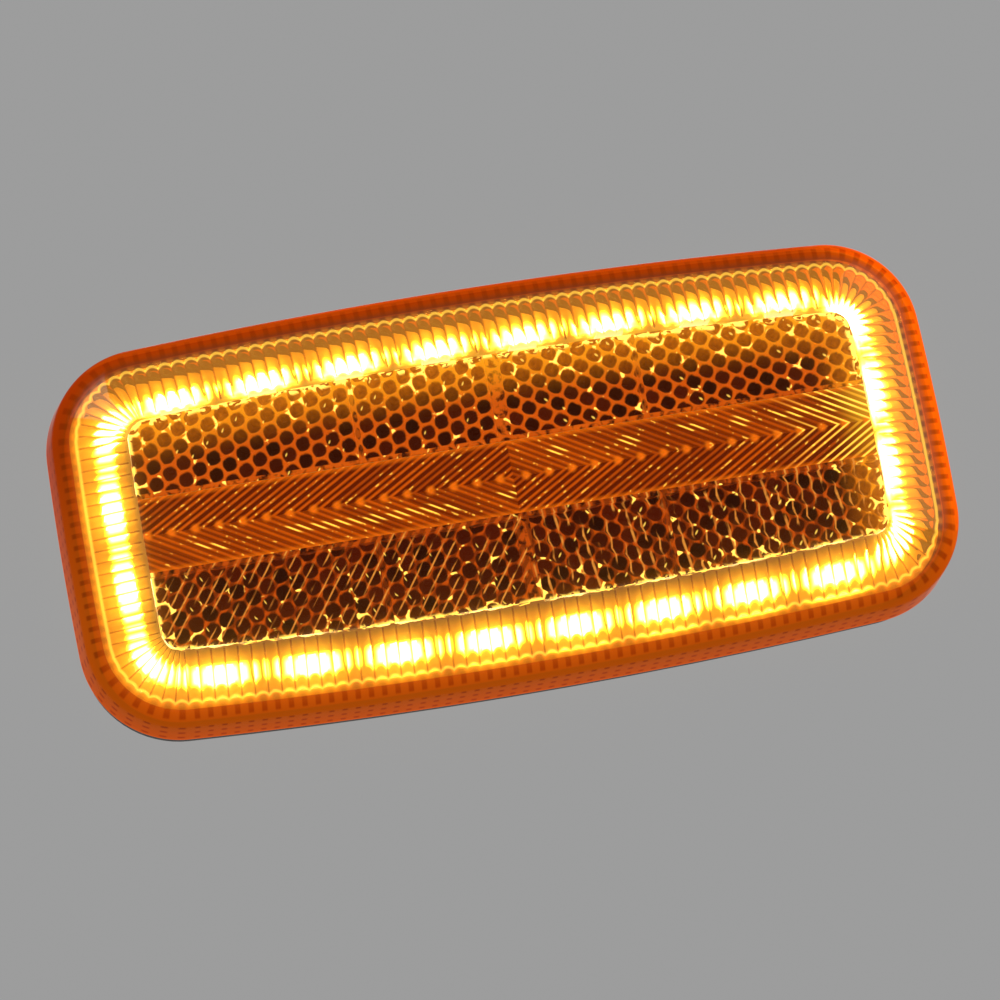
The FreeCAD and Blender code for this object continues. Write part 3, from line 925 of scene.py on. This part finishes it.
def chevron_material():
    """Painted glow on orange ridges with grooves in dark red painted shade, painted highlight points where
    the arms meet and a few painted highlight dashes.
    """
    m = Nodes("chevron_amber")
    vector, xyz = m.position()
    x, z = m.place()
    ax, az = m.unsigned(x, z)
    side = m.math("SIGN", x)
    depth = m.less(m.math("DIVIDE", xyz[1], MM), RIM_Y - FIELD_TOP)
    groove = m.ramp(depth, GROOVE_TOP, GROOVE_SHARE * GROOVE_DEPTH)
    across = m.math("MULTIPLY_ADD", ax, math.sin(CHEVRON_ANGLE), m.product(az, math.cos(CHEVRON_ANGLE)))
    rank = m.math("FLOOR", m.math("DIVIDE", across, CHEVRON_STEP))
    line = m.math("FLOOR", m.math("DIVIDE", across, CHEVRON_STEP / GROOVES))
    same = m.math("GREATER_THAN", m.product(x, z), 0.0)
    glow = border_glow(m, x, z, BAND_SPILL)
    base = m.mix(m.noise(vector, RIDGE_SCALE), CHEVRON_RED, CHEVRON_ORANGE)
    # Painted shade: the arms of some chevrons are darker
    shade = m.ramp(m.white(rank, side, SHADE_SEED), *SHADE_ZONE)
    base = m.mix(m.product(shade, SHADE_SHARE), base, CHEVRON_SHADE)
    base = m.mix(glow, base, CHEVRON_GLOW_GOLD)
    # Painted shade in the grooves, darker on one arm than the other
    cut = m.mix(glow, GROOVE_SHADE_RED, GROOVE_GLOW_GOLD)
    colour = m.mix(m.product(groove, m.pick(same, BRIGHT_ARM, DARK_ARM)), base, cut)
    # Painted highlight points on the middle line and at the band's edges
    step = m.math("FRACT", m.math("DIVIDE", ax, CHEVRON_PITCH))
    px = m.product(m.less(step, POINT_PLACE), CHEVRON_PITCH)
    edge = m.product(m.ramp(m.less(BAND_HALF, az), *EDGE_POINT), EDGE_SHARE)
    point = m.largest(m.ramp(m.length(px, az), *POINT_SIZE), edge)
    colour = m.mix(m.product(point, POINT_SHARE), colour, POINT_ORANGE)
    # Painted highlight dashes: runs of light along the ridges of some chevrons
    some = m.math("GREATER_THAN", m.white(rank, side, m.math("SIGN", z)), DASH_RARE)
    start = m.white(line, side, DASH_SEED)
    shift = m.less(az, m.math("MULTIPLY_ADD", start, *DASH_PLACE))
    run = m.product(m.ramp(shift, *DASH_START), m.ramp(shift, *DASH_STOP))
    crest = m.ramp(depth, *CREST)
    dash = m.product(run, crest, some, same)
    # Painted glints: a fine sparkle on the crests
    fine = m.product(m.ramp(m.noise(vector, FINE_SCALE, SHARP_DETAIL), *FINE_ZONE), crest, FINE_LIGHT)
    # Painted light of the right end runs along some ridges
    flare = m.product(m.ramp(x, *FLARE_END), crest, m.ramp(start, *FLARE_ZONE))
    light = m.math("MINIMUM", m.total(dash, fine, flare), 1.0)
    # The grooves' base colour is darker as painted shade
    m.set(Roughness=0.4, Specular_IOR_Level=0.1, Base_Color=m.mix(groove, CREST_PLASTIC, GROOVE_SHADE_PLASTIC),
          Emission_Color=m.mix(light, colour, DASH_YELLOW),
          Emission_Strength=m.math("MULTIPLY_ADD", light, *BAND_POWER))
    m.glow_only()
    return m.material


# Plain materials: spread of colour and roughness, and depth of the grain in metres
DARKER = 0.8
GRAIN_ZONE = (0.3, 0.7)
ROUGH_SPREAD = 0.08
GRAIN_DEPTH = 0.00005


def plain_material(name, colour, roughness, metallic=0.0, grain=0.0, scale=2000.0):
    """A plastic or metal whose colour and roughness vary a little, with a grain where one is given."""
    m = Nodes(name)
    vector, _ = m.position()
    noise = m.noise(vector, scale)
    dark = tuple(c * DARKER for c in colour)
    uneven = m.ramp(noise, *GRAIN_ZONE, roughness - ROUGH_SPREAD, roughness + ROUGH_SPREAD)
    m.set(Metallic=metallic, Base_Color=m.mix(noise, dark, colour), Roughness=uneven)
    if grain:
        m.bump(noise, grain, GRAIN_DEPTH)
    return m.material


# Lit ring: half width and soft edge of its bands, and reach of each light source, in mm
LED_BAND = (0.7, 0.9)
STREAK_BAND = (0.55, 1.25)
SPILL_BAND = (0.8, 4.2)
POOL = (5.6, 2.2)
SPILL_POWER = (0.5, 0.25)
LED_REST = 1.0
FRONT_SHARE = 0.05
BOARD_SCALE = 900.0

# Lit ring: colours of the light, then of the packages and the board
LIGHT_WARM = (1.0, 0.82, 0.60)
SPILL_AMBER = (1.0, 0.58, 0.02)
PACKAGE_CREAM = (0.9, 0.85, 0.7)
BOARD_CREAMS = ((0.70, 0.62, 0.36), (0.78, 0.70, 0.42))


def led_places():
    """Middles of the light sources of the upper right quarter, in mm."""
    places = []
    for name in nodes:
        low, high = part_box(name)
        middle = (low + high) / (2 * MM)
        if name.startswith("led_") and name != "led_board" and middle.x > 0 and middle.z > 0:
            places.append(middle)
    return places


def led_distance(m, x, z):
    """How far a point lies from the nearest light source."""
    ax, az = m.unsigned(x, z)
    nearest = 2 * HALF_LENGTH
    for place in led_places():
        reach = m.length(m.less(ax, place.x), m.less(az, place.z))
        nearest = m.math("MINIMUM", reach, nearest)
    return nearest


def ring_band(m, x, z, half_width, soft):
    """1 on the ring of light sources and 0 beyond its width."""
    # The light lies further out at the right end and the top
    lean = m.math("MULTIPLY_ADD", z, RING_LEAN[1] / HALF_HEIGHT, RING_SHIFT)
    lean = m.math("MULTIPLY_ADD", x, RING_LEAN[0] / HALF_LENGTH, lean)
    away = m.math("ABSOLUTE", m.less(inset_of(m, x, z), m.less(LED_INSET, lean)))
    return m.ramp(away, half_width + soft, half_width)


def led_material():
    """A cream package whose front is lit along its middle."""
    m = Nodes("led_lit")
    _, xyz = m.position()
    x, z = m.place()
    low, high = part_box("led_06")
    front = m.math("LESS_THAN", xyz[1], low.y + FRONT_SHARE * (high.y - low.y))
    lit = m.product(front, ring_band(m, x, z, *LED_BAND))
    m.set(Base_Color=PACKAGE_CREAM, Roughness=0.4, Emission_Color=LIGHT_WARM,
          Emission_Strength=m.math("MULTIPLY_ADD", lit, LED_POWER, LED_REST))
    return m.material


def board_material():
    """White board, with painted light in a band under the ring of light sources."""
    m = Nodes("board_white")
    vector, _ = m.position()
    x, z = m.place()
    # Painted pool of light round each light source, with a streak and spill along the ring
    pool = m.ramp(led_distance(m, x, z), *POOL)
    streak = m.product(ring_band(m, x, z, *STREAK_BAND), pool)
    spill = m.product(ring_band(m, x, z, *SPILL_BAND), m.math("MULTIPLY_ADD", pool, *SPILL_POWER))
    m.set(Roughness=0.35, Base_Color=m.mix(m.noise(vector, BOARD_SCALE), *BOARD_CREAMS),
          Emission_Color=m.mix(streak, SPILL_AMBER, LIGHT_WARM),
          Emission_Strength=m.math("MULTIPLY_ADD", streak, STREAK_POWER, spill))
    return m.material


def dress(prefix, material):
    """Gives a material to the CAD parts whose names start alike."""
    for name, obj in nodes.items():
        if name.startswith(prefix):
            for i in range(len(obj.data.materials)):
                obj.data.materials[i] = material


def camera():
    """The photo's view: from the left and below, rolled so that the right end rises."""
    back = Vector((math.sin(VIEW_AZIMUTH) * math.cos(VIEW_ELEVATION),
                   -math.cos(VIEW_AZIMUTH) * math.cos(VIEW_ELEVATION),
                   math.sin(VIEW_ELEVATION)))
    right = (-back).cross(Vector((0, 0, 1))).normalized()
    up = right.cross(-back)
    c, s = math.cos(VIEW_ROLL), math.sin(VIEW_ROLL)
    rolled_right = right * c + up * s
    rolled_up = up * c - right * s
    aim = Vector((VIEW_AIM[0], RIM_Y, VIEW_AIM[1])) * MM
    turn = Matrix((rolled_right, rolled_up, back)).transposed().to_4x4()
    data = bpy.data.cameras.new("camera")
    data.sensor_width = SENSOR
    data.lens = FOCAL_LENGTH
    data.clip_start = CLIP_START
    obj = bpy.data.objects.new("camera", data)
    obj.matrix_world = Matrix.Translation(aim + back * VIEW_DISTANCE * MM) @ turn
    bpy.context.scene.collection.objects.link(obj)
    bpy.context.scene.camera = obj


def area_light(name, place, aim, size, power):
    """A soft square light that faces its aim."""
    data = bpy.data.lights.new(name, "AREA")
    data.size = size
    data.energy = power
    obj = bpy.data.objects.new(name, data)
    obj.location = place
    obj.rotation_euler = (Vector(aim) - Vector(place)).to_track_quat("-Z", "Y").to_euler()
    bpy.context.scene.collection.objects.link(obj)


def stage():
    """A pale floor, a pale even surround, soft lights and a faint bloom round what glows."""
    scene = bpy.context.scene
    bpy.ops.mesh.primitive_plane_add(size=FLOOR_SIZE, location=(0, 0, FLOOR_Z))
    floor = bpy.context.object
    floor.name = "floor"
    m = Nodes("floor_pale")
    vector, _ = m.position()
    m.set(Roughness=0.6, Base_Color=m.mix(m.noise(vector, 3.0), *FLOOR_GREYS))
    floor.data.materials.append(m.material)
    world = bpy.data.worlds.new("surround")
    scene.world = world
    world.use_nodes = True
    shade = world.node_tree.nodes["Background"]
    shade.inputs["Color"].default_value = SURROUND_GREY + (1,)
    shade.inputs["Strength"].default_value = SURROUND_STRENGTH
    for light in LIGHTS:
        area_light(*light)
    scene.view_settings.view_transform = "Standard"
    scene.use_nodes = True
    tree = scene.node_tree
    tree.nodes.clear()
    layers = tree.nodes.new("CompositorNodeRLayers")
    bloom = tree.nodes.new("CompositorNodeGlare")
    bloom.glare_type = "BLOOM"
    for name, value in BLOOM.items():
        bloom.inputs[name].default_value = value
    out = tree.nodes.new("CompositorNodeComposite")
    tree.links.new(layers.outputs["Image"], bloom.inputs["Image"])
    tree.links.new(bloom.outputs["Image"], out.inputs["Image"])


lens_body(lens_material())
field_relief(reflex_material(), chevron_material())
# The board's name starts as the light sources' do, so it is dressed after them
dress("led_", led_material())
dress("led_board", board_material())
dress("housing", plain_material("black_plastic", (0.028, 0.028, 0.03), 0.5, grain=0.3))
dress("mounting_gasket", plain_material("gasket_foam", (0.05, 0.05, 0.052), 0.85, grain=0.8, scale=4000.0))
dress("resistor", plain_material("resistor_body", (0.06, 0.06, 0.06), 0.3))
dress("polarity", plain_material("chip_black", (0.03, 0.03, 0.03), 0.45))
dress("terminal", plain_material("blade_metal", (0.78, 0.74, 0.66), 0.3, metallic=1.0))
dress("board_screws", plain_material("screw_steel", (0.65, 0.65, 0.63), 0.35, metallic=1.0))
dress("vent_patch", plain_material("breather", (0.72, 0.72, 0.7), 0.8, grain=0.5, scale=5000.0))
camera()
stage()
